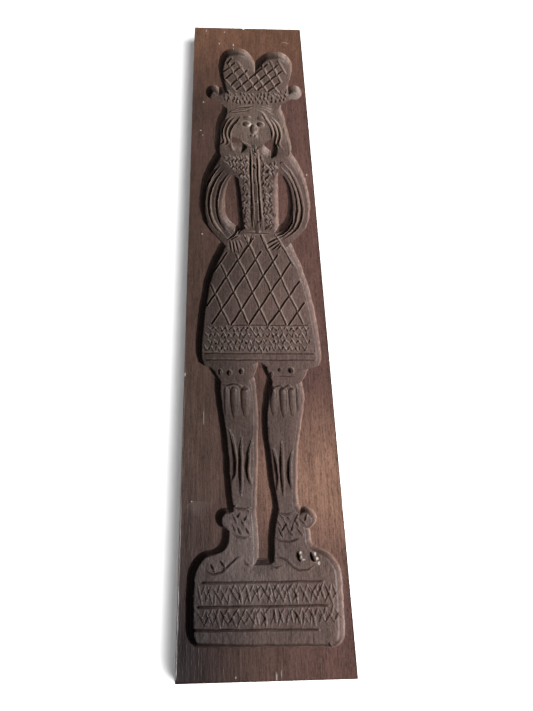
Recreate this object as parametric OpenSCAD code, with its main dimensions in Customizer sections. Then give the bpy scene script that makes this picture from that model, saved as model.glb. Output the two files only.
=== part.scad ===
// Wooden speculaas mould: one long hardwood board with a folk figure sunk into its face.
// The board lies on its back, carved face up, with the hat towards +Y.
// The figure is drawn in millimetres on a board of 123 x 700, from the middle line and the foot end,
// and is stretched over the room that the margins leave on a board of another size.

/* [Board] */
// Length of the board
board_l = 700; // [500:5:900]
// Width of the board
board_w = 123; // [100:1:180]
// Thickness of the board
board_t = 22; // [16:1:40]
// Chamfer that softens the board's edges
edge_c = 0.8; // [0.3:0.1:2]

/* [Margins] */
// Bare wood between the hat and the end of the board
hat_margin = 37; // [20:1:80]
// Bare wood between the plinth and the foot end
foot_margin = 21; // [12:1:60]
// Bare wood at each side of the figure
side_margin = 5.5; // [4:0.5:15]

/* [Sunken figure] */
// Depth of the figure's floor below the face
figure_d = 7.5; // [5:0.1:10]
// Run of the sloping walls
wall_run = 1.9; // [1:0.1:3]
// Width and height of the hollow at the foot of the walls
cove = 1.2; // [0.5:0.1:1.8]

/* [Knife cuts] */
// Width of the V cuts that cross on the hat
lattice_w = 2.3; // [1:0.1:3]
// Width of the V cuts that cross on the skirt
net_w = 1.9; // [1:0.1:3]
// Width of the waved cuts in the hair and of the folds in the sleeves
fold_w = 2.6; // [1:0.1:3.5]
// Width of the thin lines of seams, hems and soles
line_w = 1.3; // [0.8:0.1:2]
// Width of one small chip
chip_w = 2; // [1:0.1:3]
// Depth of a V cut or chip over its width
cut_slope = 0.7; // [0.4:0.05:1]

/* [Rows of chips] */
// Distance between the chips on the hat's brim
brim_pitch = 4.6; // [4:0.1:8]
// Distance between the chips on the jacket
jacket_pitch = 5.2; // [4.5:0.1:9]
// Distance between the chips in the skirt's border
border_pitch = 4.5; // [4:0.1:8]
// Distance between the crosses on the plinth
cross_pitch = 7; // [6:0.1:12]

/* [Hidden] */
// How far the cutters stand above the face and above the floor
over_face = 1;
over_floor = 0.25;
// Size and place of the drawing: its width, its height, its middle and its lowest line
drawn_w = 112;
drawn_h = 642;
drawn_mid = 0.9;
drawn_foot = 21;
stretch_x = (board_w - 2 * side_margin) / drawn_w;
stretch_y = (board_l - hat_margin - foot_margin) / drawn_h;
// Each ring of a sunken wall: how far it lies inside the outline, and its height
WALL = [[0, over_face], [0, 0], [wall_run, cove - figure_d], [wall_run + cove, -figure_d]];
// Narrowest part of a tapered cut, over its full width
tip = 0.12;

// Outlines at the face, anticlockwise; where two parts of the figure meet, they overlap
HAT_LEFT = [
    [-18, 586], [6, 586], [15, 598], [15, 614], [9.8, 631], [5, 645], [1.5, 653], [-3.5, 659.5],
    [-11, 663], [-20.5, 662], [-27.5, 657], [-31.7, 648], [-33.6, 636], [-33, 621], [-30.5, 606],
    [-27.5, 591]];
HAT_RIGHT = [
    [14, 586], [38, 588], [41.5, 600], [44, 608], [46.5, 619], [48.3, 631], [48, 641], [45.5, 648.5],
    [40.5, 655], [34.5, 659], [27.5, 658.8], [21.5, 656.3], [16, 652], [11, 646], [6, 635.5],
    [0.5, 622], [-3, 606], [0, 590]];
BRIM = [
    [-42, 579], [-35, 576], [-29, 570], [-14, 564], [4, 561], [20, 564], [34, 570], [40, 575],
    [47, 581], [48, 591], [41, 598.5], [6, 601], [-24, 599], [-35, 593.5], [-43, 589]];
HEAD = [
    [-28, 582], [-29.7, 571], [-29.5, 563], [-31, 555], [-33.5, 548.5], [-35.3, 541.5], [-36.5, 532],
    [-37, 522], [-37.4, 512], [-37, 503], [-33, 492], [-22, 482], [2, 478], [26, 482], [37, 491],
    [41.2, 501], [41, 512], [39.7, 522], [38.6, 532], [37.2, 542], [36.2, 551], [34.8, 558],
    [33.3, 564], [33.2, 572], [30, 582], [1, 586]];
JACKET = [
    [-31, 506], [-36, 498], [-38.7, 492], [-42.3, 483], [-46, 472], [-49, 461], [-51, 448],
    [-51.7, 434], [-51, 420], [-48.3, 406], [-43, 395], [-36, 385.5], [-30, 378], [-20, 371],
    [4, 368], [27, 371], [36.8, 380], [43.7, 387.5], [50.3, 397], [54.2, 409], [56, 425],
    [55.6, 441], [54, 456], [51, 470], [47.2, 483], [43, 492.5], [40, 500], [32, 508], [4, 512]];
SKIRT = [
    [-24, 390], [-31, 379.5], [-34, 372], [-37.2, 364], [-40, 356], [-43, 346.5], [-45.5, 336.5],
    [-47.4, 326], [-49, 314], [-50.5, 300], [-51.5, 285], [-52.2, 270], [-52, 257], [-50, 248.5],
    [-44.5, 244.5], [-34, 244], [-16, 246.5], [1, 248], [18, 244.5], [34, 241.5], [46, 241.5],
    [52, 244.5], [54.4, 252], [54.2, 266], [53.5, 281], [52.4, 296], [51.2, 308], [49.8, 318],
    [48.2, 328], [46.3, 337], [44, 346.5], [41.3, 356.5], [38.3, 366], [35.5, 376], [28, 388], [2, 393]];
CUFF_LEFT = [
    [-42.5, 252], [-41.3, 243.5], [-38.5, 238], [-35.2, 232.5], [-28, 224], [-10, 224],
    [-4.6, 231.5], [-1.2, 240], [0.3, 247], [-5, 257], [-34, 260]];
CUFF_RIGHT = [
    [3.8, 250], [4.2, 242], [6.4, 236], [12, 225], [30, 224], [36.3, 229.5], [39.3, 233.5],
    [41.2, 238], [42.4, 243], [40, 254], [12, 258]];
LEG_LEFT = [
    [-33, 241], [-35.8, 231], [-35.9, 221], [-34.9, 211], [-33.4, 201.5], [-32, 191.5], [-31, 182],
    [-30.1, 172], [-29.5, 162], [-29, 152], [-28.4, 142], [-27.4, 132], [-26, 122], [-24, 108],
    [-9, 106], [-4.6, 117], [-4.4, 126], [-3.5, 136], [-2.6, 151], [-2, 170], [-1.5, 186],
    [-1.1, 200], [-1.5, 215], [-2.8, 230], [-7, 242]];
LEG_RIGHT = [
    [10, 240], [6.2, 228.5], [4.6, 221], [3.5, 211], [2.4, 203], [1.8, 195], [2, 186], [2.7, 176],
    [3.6, 166], [4.5, 156], [5.2, 147], [6.1, 137], [7.6, 127.5], [8.8, 119], [12, 105], [24, 105],
    [27.2, 122], [27.4, 133], [27.8, 142], [28.4, 152], [29.3, 162], [30.3, 171], [31.8, 179],
    [33.2, 187], [34.5, 195], [36.3, 203], [37.6, 212], [37.2, 221.5], [35.8, 231], [30, 241]];
SHOE_LEFT = [
    [-24, 126], [-29, 110], [-29.8, 101], [-31, 95.5], [-33.8, 91], [-38, 89], [-42.5, 88],
    [-47.3, 86], [-51, 82], [-53.8, 76], [-54.9, 68], [-55.4, 58], [-55.2, 48], [-46, 42], [-20, 46], [-6, 58], [-4.2, 72],
    [-3.9, 82], [-3.6, 92], [-3.7, 102], [-4.3, 111], [-6, 122], [-14, 130]];
SHOE_RIGHT = [
    [11, 128], [7.4, 116], [5.5, 110], [4.5, 103], [3.9, 96], [3.3, 88], [3.4, 80], [4, 72],
    [6, 58], [20, 46], [46, 42], [55.2, 48], [55.8, 58], [55.9, 68], [55.3, 75], [53.2, 80], [50, 84.3], [46, 87.5],
    [41.5, 89.8], [37.3, 92.4], [35.2, 96.5], [35, 104], [31.2, 116.4], [22.6, 128]];
PLINTH = [
    [-55.1, 42], [-54.8, 34], [-53.4, 27.6], [-49.8, 23.9], [-44, 22.6], [-15, 21.8], [18, 21.2],
    [44, 20.8], [49.8, 21.7], [53.4, 25.3], [54.7, 32], [55.1, 42], [55.6, 54], [50, 66], [28, 73],
    [5, 76.7], [-5, 76.7], [-28, 73], [-50, 66], [-55.3, 54]];

// Round parts: centre and half sizes
BRIM_KNOBS = [[[-39.5, 588], [8, 11]], [[48.7, 590], [8.3, 11.8]]];
SHOE_KNOBS = [[[-27.4, 113], [7.6, 8]], [[32.8, 112.5], [8, 8.5]]];

// Parts left standing at the height of the face: the outline on top, and the outline at the floor
NECK_LEFT = [
    [-19, 519.5], [-19.6, 512], [-17, 506.5], [-12.4, 503.7], [-10.4, 506.5], [-8.4, 512], [-12, 516.3]];
NECK_RIGHT = [[21.6, 517.5], [17.4, 513.3], [13.8, 508.5], [17, 503.5], [20.6, 499], [22.2, 504], [22.4, 511]];
NECK_RIGHT_FOOT = [[22, 522], [15, 516.5], [8.5, 509], [11.5, 500], [20.4, 494], [25, 503], [25.2, 512]];
ARM_LEFT = [
    [-19.1, 467.5], [-22, 460], [-24.2, 452.5], [-26, 443], [-27, 433.5], [-27, 423.5], [-26, 413.5],
    [-23.4, 405.8], [-19.6, 400.8], [-15, 397.4], [-13.8, 404.5], [-14.2, 414], [-15.2, 428.5],
    [-16, 443], [-16.9, 453], [-17.9, 462]];
ARM_LEFT_FOOT = [
    [-19.6, 472], [-25.5, 462.5], [-28.6, 453.5], [-31, 443.5], [-32.4, 433.5], [-32.6, 422.5],
    [-30.2, 411.5], [-26.6, 403.5], [-21.4, 398], [-14.4, 394], [-11.2, 404.5], [-11.6, 414],
    [-12.6, 428.5], [-13.4, 443], [-14.3, 454], [-15.6, 464]];
ARM_RIGHT = [
    [27.4, 471], [26.2, 465], [25.8, 455], [25.6, 445], [25.3, 433], [24.8, 419], [24.3, 406],
    [24.6, 400], [28.4, 402.8], [31.8, 409.2], [33.9, 418.5], [34.8, 428.5], [34.8, 438], [34.2, 448],
    [32.2, 458], [30, 466]];
ARM_RIGHT_FOOT = [
    [25.8, 475.5], [22.5, 466], [21.5, 455], [21, 445], [20.7, 433], [20.4, 419], [20.2, 406],
    [20.6, 396.8], [29.4, 399.6], [33.8, 407.2], [36.2, 417.4], [37.8, 428.5], [37.9, 438.5], [37.1, 449.5],
    [35.2, 460.5], [31.5, 471.5]];

// Straight V cuts that cross, each from one end to the other
HAT_RISING = [
    [[-24, 648], [-19, 657]], [[-28.5, 632], [-15, 650]], [[-25.5, 621.5], [-8, 643]],
    [[-21, 608.5], [-1, 637]], [[-14, 603], [22, 648]], [[-3, 600], [34, 647]],
    [[9, 602], [38, 636]], [[21, 600], [36, 617]]];
HAT_FALLING = [
    [[-28, 621], [-11, 593]], [[-24, 649], [-3, 598.5]], [[-13, 650], [8, 602]], [[7, 630], [20, 600]],
    [[15, 645], [31.5, 600]], [[25, 652], [36, 616]], [[33.8, 653.5], [41.5, 631]]];
SKIRT_RISING = [
    [[-37.6, 350], [-25, 372]], [[-44, 311], [0, 390]], [[-39, 292], [7, 374]], [[-22, 291], [22.5, 370]],
    [[-6, 291], [34.5, 361]], [[11, 290.5], [42, 339]], [[29.5, 291], [45, 315]]];
SKIRT_FALLING = [
    [[-40, 334], [-24, 291]], [[-31, 358], [-7, 291.5]], [[-17, 370], [10, 291]], [[-7.5, 391], [27, 291]],
    [[7, 394], [42, 292]], [[27, 381], [36.6, 357.5]]];

// Curved V cuts, each through a few points
FRINGE = [
    [[7.5, 578], [-1, 573.5], [-10, 571]], [[7, 574], [-2, 568.5], [-11, 566]], [[-12, 573], [-20, 568], [-25, 562]],
    [[10, 577.5], [19, 576.5], [29, 574.5]], [[11, 575.5], [18, 573], [27, 568]], [[13, 572], [20, 568], [27, 561]]];
HAIR = [
    [[-19, 560], [-24, 555], [-28, 547], [-29.6, 538], [-29.5, 530], [-28, 524], [-29.5, 519], [-32.5, 516.5]],
    [[-15, 560], [-20, 554], [-24.5, 545], [-26, 537], [-25.5, 530], [-23.2, 523.5], [-24.5, 518.5], [-27, 516]],
    [[-10, 560], [-14, 553], [-19, 545], [-21.5, 538], [-22, 530], [-20.6, 523]],
    [[7.5, 569.5], [13.5, 565.5], [17, 557], [20.5, 549], [22.5, 541], [23, 533], [22.4, 525]],
    [[22, 556], [25, 548.5], [27, 540], [27.2, 532], [25.8, 524], [26, 516], [29, 509.5]],
    [[23.2, 560], [27, 552.5], [30.3, 544], [31.5, 536], [31, 528], [29.4, 521], [30.5, 515], [35.5, 508.5]]];
CHIN = [[-11, 523], [-4, 517.5], [1.5, 511.5], [4, 507], [7.5, 511.5], [13, 517]];
SLEEVE_LEFT = [
    [[-31, 488], [-36, 480], [-40.5, 471.5], [-43.6, 463], [-45.4, 453]],
    [[-26, 483], [-31, 476], [-36, 467], [-39.8, 457], [-42.2, 446], [-42.8, 434], [-41.8, 422],
        [-39, 410.6], [-34.6, 401.4], [-29.2, 394], [-23.8, 388]],
    [[-21.5, 476], [-26, 471], [-30.5, 462], [-33.5, 451], [-35, 440], [-35.2, 430], [-33.6, 419],
        [-31.2, 409], [-27, 400.6], [-21, 393.8]]];
SLEEVE_RIGHT = [
    [[40, 421], [38.2, 411.4], [34.2, 403], [28.4, 396.4], [21.6, 392.6]],
    [[30.5, 484], [36, 475], [40.3, 465], [43.3, 453], [44.8, 440], [44.4, 427], [42.3, 414],
        [38.4, 403.4], [31.4, 395], [22.6, 388.6]],
    [[33, 490.5], [38.5, 481], [43, 469.5], [46.8, 456.5], [49, 442], [49.4, 428], [48, 415],
        [44, 404.5], [37, 395.5], [27.5, 387.5]]];
ARMHOLES = [[[-29, 493.5], [-25, 488], [-20, 482], [-16, 475]], [[37, 493], [31, 491.5], [26, 487], [22.7, 477]]];
PLACKET = [
    [[-0.4, 512], [-0.8, 495], [-0.9, 478], [-0.4, 460], [0, 445], [0.6, 430], [1.4, 415], [2.2, 399]],
    [[3.5, 505], [6, 499], [6.5, 488], [6.3, 476], [6.7, 462], [7.2, 446], [7.8, 430], [8.8, 413], [9.6, 399]]];
HANDS = [
    [[-12.6, 392.4], [-16, 391.8], [-19.6, 390], [-22, 386.4]], [[-22, 384], [-21.6, 374]], [[-19.5, 385], [-16, 367]],
    [[-17, 385], [-11.5, 371.5]], [[22.5, 388], [12.5, 381.5]], [[23.5, 386], [11.5, 375]], [[25.5, 384], [17, 373]],
    [[27.5, 382], [24, 373]], [[-9, 395], [-7, 389], [-5, 383]], [[17, 395], [16.5, 391]]];
TROUSER_FOLDS = [
    [[-23.4, 228], [-23.8, 216], [-22, 202]], [[-14, 227], [-14.7, 217], [-13, 207]],
    [[17.5, 227], [18, 215], [19.7, 203]], [[26, 227], [26.6, 213], [28.2, 201]]];
STOCKING_FOLDS = [
    [[-24.2, 189], [-21.2, 175], [-20, 161], [-20.3, 151], [-22.6, 144]],
    [[-14.4, 182], [-15.8, 166], [-16.2, 150], [-15, 132]],
    [[-6, 180], [-9.3, 168], [-10.6, 157], [-9.6, 147.5], [-7, 141]],
    [[10.6, 172], [12.6, 160], [13.6, 149], [12.2, 136]],
    [[18, 178], [16.8, 162], [16.5, 146], [17.4, 131]],
    [[25.8, 169], [23.2, 160], [22.3, 151], [22.6, 143.5], [23.8, 137]]];
FRILL = [
    [[-30, 231], [-26, 229], [-21, 231], [-17, 230.5], [-12, 226], [-6, 227]],
    [[11, 230], [14, 227.5], [18.5, 229.5], [22, 227], [26, 229.5], [29, 226.5], [32.6, 226.4]]];
ANKLES = [[[-23, 125], [-18, 122.3], [-12, 121.6], [-8, 123]], [[12.6, 119.3], [16.6, 117.4], [21, 117.4], [25, 118.6]]];
INSTEPS = [[[-23, 103.5], [-18, 100.3], [-13, 99.3], [-8, 101]], [[9, 100], [14, 96.8], [21, 95.6], [26, 97.6], [30.6, 99]]];
SOLES = [
    [[-42, 75.5], [-36, 72.8], [-30, 74], [-24.5, 79.5], [-19, 84.3], [-14, 85.3]], [[-14, 83.5], [-10.8, 79.8], [-7.6, 78.4]],
    [[9, 84.3], [14, 84.4], [18.5, 82.4], [22.5, 77.5], [27, 74.4], [33, 74.6], [39, 78.5]],
    [[7, 78.6], [10.5, 77], [16, 78.8]]];
TOE_SLITS = [[[-38, 80.5], [-35.6, 75]], [[-31, 83.5], [-28.3, 77.2]], [[27, 88], [28, 82.5]], [[36.6, 87], [36.8, 82]]];
// Level seams: height on the left, height on the right, and both ends
SEAMS = [
    [[-22, 290], [47, 290]], [[-44, 261], [50, 260.5]], [[-43, 254.5], [50, 253.8]],
    [[-44, 67], [44, 66.3]], [[-47, 50], [46, 49.2]], [[-50, 34.3], [38, 33.2]]];
// Round hollows: centre, width, height
EYES = [[[-3.6, 547], 7.4, 7], [[10.8, 547], 8, 7]];
NOSE = [[3.4, 540], 7, 13];
BUTTONS = [[[5, 508], 3, 6], [[3.4, 486], 4.4, 6], [[3.6, 463], 3, 4], [[4.4, 437.5], 3, 4], [[5.4, 411], 3, 4]];
CUFF_DOTS = [
    [[-32, 243], 3, 6], [[-24, 242], 4, 6], [[-14, 243], 4, 5.5], [[11.5, 240], 3, 5],
    [[19.5, 244.5], 3, 4], [[28.6, 244], 5, 5.5]];

// Height of the figure's floor, from the underside of the board
floor_z = board_t - figure_d;

// A point of the drawing, placed on the board
function place(p) = [
    (p.x - drawn_mid) * stretch_x + drawn_mid,
    (p.y - drawn_foot) * stretch_y + foot_margin - board_l / 2];
function place_all(p) = [for (q = p) place(q)];

// One point between b and c of a smooth curve through a, b, c and d
function between(a, b, c, d, t) =
    (2 * b + (c - a) * t + (2 * a - 5 * b + 4 * c - d) * t * t + (3 * b - 3 * c + d - a) * t * t * t) / 2;
function round_again(p, i) = p[(i + len(p)) % len(p)];
function held(p, i) = p[max(0, min(len(p) - 1, i))];
// A closed curve and an open curve through p, with n steps to a span
function loop(p, n = 2) = [
    for (i = [0 : len(p) - 1], k = [0 : n - 1])
        between(round_again(p, i - 1), p[i], round_again(p, i + 1), round_again(p, i + 2), k / n)];
function curve(p, n = 2) = concat(
    [for (i = [0 : len(p) - 2], k = [0 : n - 1])
        between(held(p, i - 1), p[i], held(p, i + 1), held(p, i + 2), k / n)],
    [p[len(p) - 1]]);
// Direction to the left of a path at point i
function left_of(a, b) = [a.y - b.y, b.x - a.x] / norm(b - a);
// An anticlockwise outline moved inwards by d
function inset(q, d) = [
    for (i = [0 : len(q) - 1]) q[i] + d * left_of(round_again(q, i - 1), round_again(q, i + 1))];
function at_height(q, z) = [for (p = q) [p.x, p.y, z]];

// A closed skin over rings of equal length, the first seen anticlockwise from outside
module skin(rings) {
    n = len(rings[0]);
    last = len(rings) - 1;
    polyhedron(
        points = [for (r = rings) for (p = r) p],
        faces = concat(
            [[for (i = [n - 1 : -1 : 0]) i]],
            [for (r = [0 : last - 1], i = [0 : n - 1]) [r * n + i, r * n + (i + 1) % n, (r + 1) * n + (i + 1) % n]],
            [for (r = [0 : last - 1], i = [0 : n - 1]) [r * n + i, (r + 1) * n + (i + 1) % n, (r + 1) * n + i]],
            [[for (i = [0 : n - 1]) last * n + i]]));
}

// The room that one part of the figure takes out of the board
module sink(outline, n) {
    q = loop(place_all(outline), n);
    skin([for (w = WALL) at_height(inset(q, w[0]), board_t + w[1])]);
}

// A round part of the figure, sunk in the same way
module sink_round(centre, half) {
    sink([for (a = [0 : 22.5 : 337.5]) centre + [half.x * cos(a), half.y * sin(a)]], 1);
}

// A part that stands at the height of the face, with walls as steep as the figure's own
module stand(outline) {
    q = loop(place_all(outline));
    skin(concat(
        [for (w = WALL) at_height(inset(q, -w[0]), board_t + w[1])],
        [at_height(inset(q, -wall_run - cove), floor_z - over_face)]));
}

// A part that stands at the height of the face, with a slope down to a wider foot
module stand_on(outline, foot) {
    q = loop(place_all(outline));
    f = loop(place_all(foot));
    skin([at_height(q, board_t + over_face), at_height(q, board_t), at_height(f, floor_z),
        at_height(f, floor_z - over_face)]);
}

// The point of a V tool of width w, held at p with its edge along direction a
module tool_point(p, w, l, a) {
    reach = 1 + over_floor;
    translate([p.x, p.y, floor_z]) rotate(a) scale([l / 2, w / 2, w * cut_slope])
        translate([0, 0, -1]) cylinder(h = reach, r1 = 0, r2 = reach, $fn = 4);
}

// A straight V cut from a to b
module stroke(a, b, w) {
    p = place(a);
    q = place(b);
    lean = atan2(q.y - p.y, q.x - p.x);
    hull() {
        tool_point(p, w, w, lean);
        tool_point(q, w, w, lean);
    }
}

// A curved V cut through p that grows from a point to width w; a lens is widest at mid length
module groove(p, w, n = 1, lens = false) {
    q = curve(place_all(p), n);
    last = len(q) - 1;
    skin([for (i = [0 : last])
        let (
            t = i / last,
            full = lens ? sin(180 * t) : min(1, 5 * t, 5 * (1 - t)),
            side = max(tip, full) * w / 2,
            side_top = side * (1 + over_floor),
            top = floor_z + over_floor * 2 * side * cut_slope,
            out = side_top * left_of(held(q, i - 1), held(q, i + 1)))
        [
            [q[i].x + out.x, q[i].y + out.y, top],
            [q[i].x, q[i].y, floor_z - 2 * side * cut_slope],
            [q[i].x - out.x, q[i].y - out.y, top]]]);
}

// One chip of length l, leaning by a
module chip(p, l, a, w = chip_w) {
    tool_point(place(p), w, l, a);
}

// A shallow round hollow in the floor
module hollow(p, w, h) {
    c = place(p);
    translate([c.x, c.y, floor_z]) scale([w / 2, h / 2, w * cut_slope / 1.6])
        sphere(r = 1, $fn = 8);
}

module blank() {
    hull() {
        for (c = [[0, 1, 1], [1, 0, 1], [1, 1, 0]])
            translate([0, 0, board_t / 2])
                cube([board_w, board_l, board_t] - 2 * edge_c * c, center = true);
    }
}

module figure() {
    difference() {
        union() {
            for (part = [HAT_LEFT, HAT_RIGHT, BRIM, HEAD, CUFF_LEFT, CUFF_RIGHT, SHOE_LEFT, SHOE_RIGHT, PLINTH])
                sink(part, 2);
            for (part = [JACKET, SKIRT, LEG_LEFT, LEG_RIGHT])
                sink(part, 1);
            for (knob = concat(BRIM_KNOBS, SHOE_KNOBS))
                sink_round(knob[0], knob[1]);
        }
        stand(NECK_LEFT);
        stand_on(NECK_RIGHT, NECK_RIGHT_FOOT);
        stand_on(ARM_LEFT, ARM_LEFT_FOOT);
        stand_on(ARM_RIGHT, ARM_RIGHT_FOOT);
    }
}

module hat_cuts() {
    for (s = concat(HAT_RISING, HAT_FALLING))
        stroke(s[0], s[1], lattice_w);
    rows = [581.5, 587.5, 593.5];
    for (row = [0 : 2], x = [-26 : brim_pitch : 37])
        chip([x + row * brim_pitch / 3, rows[row] + pow(x - 3, 2) / 300], 5, 70 + 8 * row);
}

module head_cuts() {
    for (p = FRINGE)
        groove(p, line_w);
    for (p = HAIR)
        groove(p, fold_w, 2);
    groove(CHIN, line_w);
    for (e = EYES)
        hollow(e[0], e[1], e[2]);
    hollow(NOSE[0], NOSE[1], NOSE[2]);
    stroke([0.6, 530.5], [3, 528], line_w);
    stroke([4, 528], [7, 530.5], line_w);
}

// How far the jacket's chips reach to the left and to the right at height y
function chips_left(y) = y < 466 ? -10 : -10 - (y - 466) * 0.5;
function chips_right(y) = y < 466 ? 20 : y < 490 ? 20 + (y - 466) * 0.35 : 12;

module jacket_cuts() {
    for (y = [404 : jacket_pitch : 502]) {
        row = round((y - 404) / jacket_pitch);
        shift = row % 2 * jacket_pitch / 2;
        lean = 90 + (row % 2 == 0 ? 14 : -14);
        for (x = [-4 - shift : -jacket_pitch : chips_left(y)])
            chip([x, y], 5.4, lean);
        for (x = [11.5 + shift : jacket_pitch : chips_right(y)])
            chip([x, y], 5.4, 180 - lean);
    }
    for (p = PLACKET)
        groove(p, line_w * 1.6);
    for (p = ARMHOLES)
        groove(p, line_w * 1.2);
    for (p = concat(SLEEVE_LEFT, SLEEVE_RIGHT))
        groove(p, fold_w);
    for (p = HANDS)
        groove(p, line_w * 1.3);
    for (b = BUTTONS)
        hollow(b[0], b[1], b[2]);
}

module skirt_cuts() {
    for (s = concat(SKIRT_RISING, SKIRT_FALLING))
        stroke(s[0], s[1], net_w);
    rows = [286.5, 281.5, 276, 270.5, 265];
    for (row = [0 : 4], x = [-43 + row % 2 * border_pitch / 2 : border_pitch : 49])
        chip([x, rows[row]], 6, row % 2 == 0 ? 118 : 62);
}

module trouser_cuts() {
    for (d = CUFF_DOTS)
        hollow(d[0], d[1], d[2]);
    for (p = FRILL)
        groove(p, line_w);
    for (p = concat(TROUSER_FOLDS, STOCKING_FOLDS))
        groove(p, fold_w, 2, true);
}

module shoe_cuts() {
    for (p = concat(ANKLES, INSTEPS, SOLES))
        groove(p, line_w);
    for (s = TOE_SLITS)
        stroke(s[0], s[1], line_w * 1.3);
    for (k = [0 : 3])
        for (row = [0, 1]) {
            chip([-21.6 + 4.2 * k, 116 - 8 * row + k], 7, 115);
            chip([13.5 + 5 * k, 112 - 8 * row], 7, 115 - 50 * row);
        }
}

module plinth_cuts() {
    for (band = [[43.2, 11], [58.5, 13]], x = [-45 : cross_pitch : 49]) {
        chip([x, band[0]], band[1], 112);
        chip([x, band[0]], band[1] * 0.8, 66);
    }
}

module mould_board() {
    color("#6d564c") {
        difference() {
            blank();
            figure();
            hat_cuts();
            head_cuts();
            jacket_cuts();
            skirt_cuts();
            trouser_cuts();
            shoe_cuts();
            plinth_cuts();
            for (s = SEAMS)
                stroke(s[0], s[1], line_w);
        }
    }
}

mould_board();
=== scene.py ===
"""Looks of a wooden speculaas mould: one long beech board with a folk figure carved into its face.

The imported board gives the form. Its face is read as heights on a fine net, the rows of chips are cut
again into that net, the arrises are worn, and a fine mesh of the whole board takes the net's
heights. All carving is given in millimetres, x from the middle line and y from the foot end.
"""

import logging
import math
from dataclasses import dataclass, field
from enum import Enum

import bmesh
import bpy
import numpy as np
from mathutils import Matrix, Vector
from mathutils.bvhtree import BVHTree

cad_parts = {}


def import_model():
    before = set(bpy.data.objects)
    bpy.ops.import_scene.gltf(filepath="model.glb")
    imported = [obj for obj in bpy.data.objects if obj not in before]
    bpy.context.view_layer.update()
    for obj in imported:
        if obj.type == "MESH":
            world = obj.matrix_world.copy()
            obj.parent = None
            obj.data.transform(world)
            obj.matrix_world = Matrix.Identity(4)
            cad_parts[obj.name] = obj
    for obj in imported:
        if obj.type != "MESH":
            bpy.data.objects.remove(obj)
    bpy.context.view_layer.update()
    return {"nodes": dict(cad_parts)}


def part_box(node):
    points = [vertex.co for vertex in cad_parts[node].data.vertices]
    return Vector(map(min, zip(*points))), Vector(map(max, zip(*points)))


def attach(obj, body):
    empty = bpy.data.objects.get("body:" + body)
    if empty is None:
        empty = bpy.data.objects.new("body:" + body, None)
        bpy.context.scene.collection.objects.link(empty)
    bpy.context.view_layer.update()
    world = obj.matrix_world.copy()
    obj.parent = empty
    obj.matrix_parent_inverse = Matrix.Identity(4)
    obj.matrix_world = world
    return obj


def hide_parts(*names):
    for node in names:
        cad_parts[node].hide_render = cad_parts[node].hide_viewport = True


LOG = logging.getLogger("speculaas_mould")
MM = 0.001
NODE = "mould_board"
# Inputs and output of a Mix node that mixes colours
FACTOR, FIRST, SECOND, MIXED = 0, 6, 7, 2
# Two measures on the face, across and along the board, and the corners of an area there
Pair = tuple[float, float]
Outline = list[Pair]
Tree = bpy.types.NodeTree
Socket = bpy.types.NodeSocket


def linear(hex_colour: str) -> tuple[float, float, float, float]:
    """Turns an sRGB hex colour into linear RGBA.

    Args:
        hex_colour: the colour as "#rrggbb".

    Returns:
        The linear colour with an alpha of 1.
    """
    parts = [int(hex_colour[i : i + 2], 16) / 255 for i in (1, 3, 5)]
    return (*[p / 12.92 if p <= 0.04045 else ((p + 0.055) / 1.055) ** 2.4 for p in parts], 1.0)


def put(tree: Tree, kind: str, inputs: dict | None = None, **settings: object) -> bpy.types.Node:
    """Adds a node with its settings and links.

    Args:
        tree: the node tree.
        kind: the node's type, without the word ShaderNode.
        inputs: what each input gets, a socket to link or a value.
        settings: the node's own properties.

    Returns:
        The new node.
    """
    node = tree.nodes.new("ShaderNode" + kind)
    for name, value in settings.items():
        setattr(node, name, value)
    for key, value in (inputs or {}).items():
        if isinstance(value, Socket):
            tree.links.new(value, node.inputs[key])
        else:
            node.inputs[key].default_value = value
    return node


def calc(tree: Tree, operation: str, *values: Socket | float, clamp: bool = False) -> Socket:
    """Adds a Math node and gives its result."""
    return put(tree, "Math", dict(enumerate(values)), operation=operation, use_clamp=clamp).outputs[0]


def span(
    tree: Tree, value: Socket, start: float, stop: float, low: float = 0, high: float = 1, clamp: bool = True
) -> Socket:
    """Adds a Map Range node that turns start and stop into low and high."""
    inputs = {"Value": value, "From Min": start, "From Max": stop, "To Min": low, "To Max": high}
    return put(tree, "MapRange", inputs, clamp=clamp).outputs[0]


def blend(tree: Tree, share: Socket, first: Socket | tuple, second: Socket | tuple) -> Socket:
    """Adds a Mix node for colours, with the second colour's share."""
    inputs = {FACTOR: share, FIRST: first, SECOND: second}
    return put(tree, "Mix", inputs, data_type="RGBA").outputs[MIXED]


def noise(tree: Tree, where: Socket, across: float, detail: float) -> Socket:
    """Adds a Noise Texture with blots of some millimetres across."""
    inputs = {"Vector": where, "Scale": 1000 / across, "Detail": detail}
    return put(tree, "TexNoise", inputs).outputs["Fac"]


class Lean(Enum):
    """Which way a knife stroke leans on the face."""

    BACK = -1
    FORWARD = 1


@dataclass(frozen=True)
class Stroke:
    """One V cut of the knife: its ends, its width, where along it it is widest and how steep it is."""

    start: Pair
    end: Pair
    width: float = 1.6
    widest: float = 0.5
    steep: float = 1.05


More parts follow.
